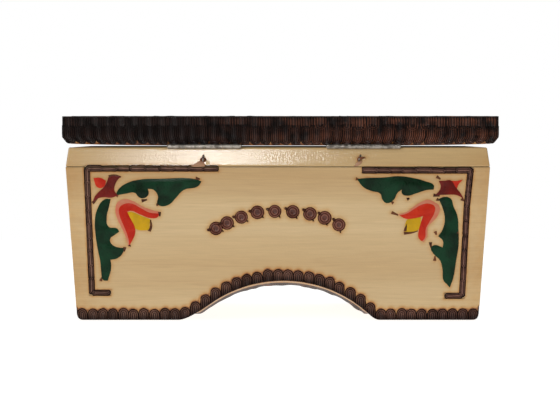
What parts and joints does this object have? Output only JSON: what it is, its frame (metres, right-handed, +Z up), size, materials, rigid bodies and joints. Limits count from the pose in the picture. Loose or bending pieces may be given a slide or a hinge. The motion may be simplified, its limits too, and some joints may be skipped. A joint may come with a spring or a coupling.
{
  "type": "hinged keepsake box",
  "caption": "Low wooden box on feet cut by arches, with tapering walls, a thick overhanging lid on two butt hinges, and burned and painted folk decoration.",
  "frame": {"origin": "on the ground under the middle of the lid", "axes": "+X along the length, to the right of somebody who faces the hinge side; +Y from the hinge side to the opening side; +Z up"},
  "size_m": [0.2, 0.127, 0.094],
  "materials": {
    "wall_wood": "pale varnished hardwood with burned and painted work",
    "rim_wood": "pale varnished hardwood, a little darker from the burning",
    "floor_wood": "raw thin board",
    "scorched_lid": "burned nearly black along the edge, varnished",
    "hinge_plate": "nickel-plated sheet, worn",
    "brad_steel": "dull steel"
  },
  "bodies": {
    "box": {"back_wall": "wall_wood", "front_wall": "wall_wood", "left_wall": "wall_wood", "right_wall": "wall_wood", "back_rim": "rim_wood", "front_rim": "rim_wood", "left_rim": "rim_wood", "right_rim": "rim_wood", "floor_board": "floor_wood", "hinge_left_case_leaf": "hinge_plate", "hinge_left_pin": "hinge_plate", "hinge_left_case_nail_1": "brad_steel", "hinge_left_case_nail_2": "brad_steel", "hinge_left_case_nail_3": "brad_steel", "hinge_right_case_leaf": "hinge_plate", "hinge_right_pin": "hinge_plate", "hinge_right_case_nail_1": "brad_steel", "hinge_right_case_nail_2": "brad_steel", "hinge_right_case_nail_3": "brad_steel"},
    "lid": {"lid_board": "scorched_lid", "hinge_left_lid_leaf": "hinge_plate", "hinge_left_lid_nail_1": "brad_steel", "hinge_left_lid_nail_2": "brad_steel", "hinge_left_lid_nail_3": "brad_steel", "hinge_right_lid_leaf": "hinge_plate", "hinge_right_lid_nail_1": "brad_steel", "hinge_right_lid_nail_2": "brad_steel", "hinge_right_lid_nail_3": "brad_steel"}
  },
  "joints": [
    {"name": "lid_hinge", "type": "hinge", "parent": "box", "child": "lid", "pos_m": [0, -0.0622, 0.08005], "axis": [1, 0, 0], "range_deg": [0, 155]}
  ]
}
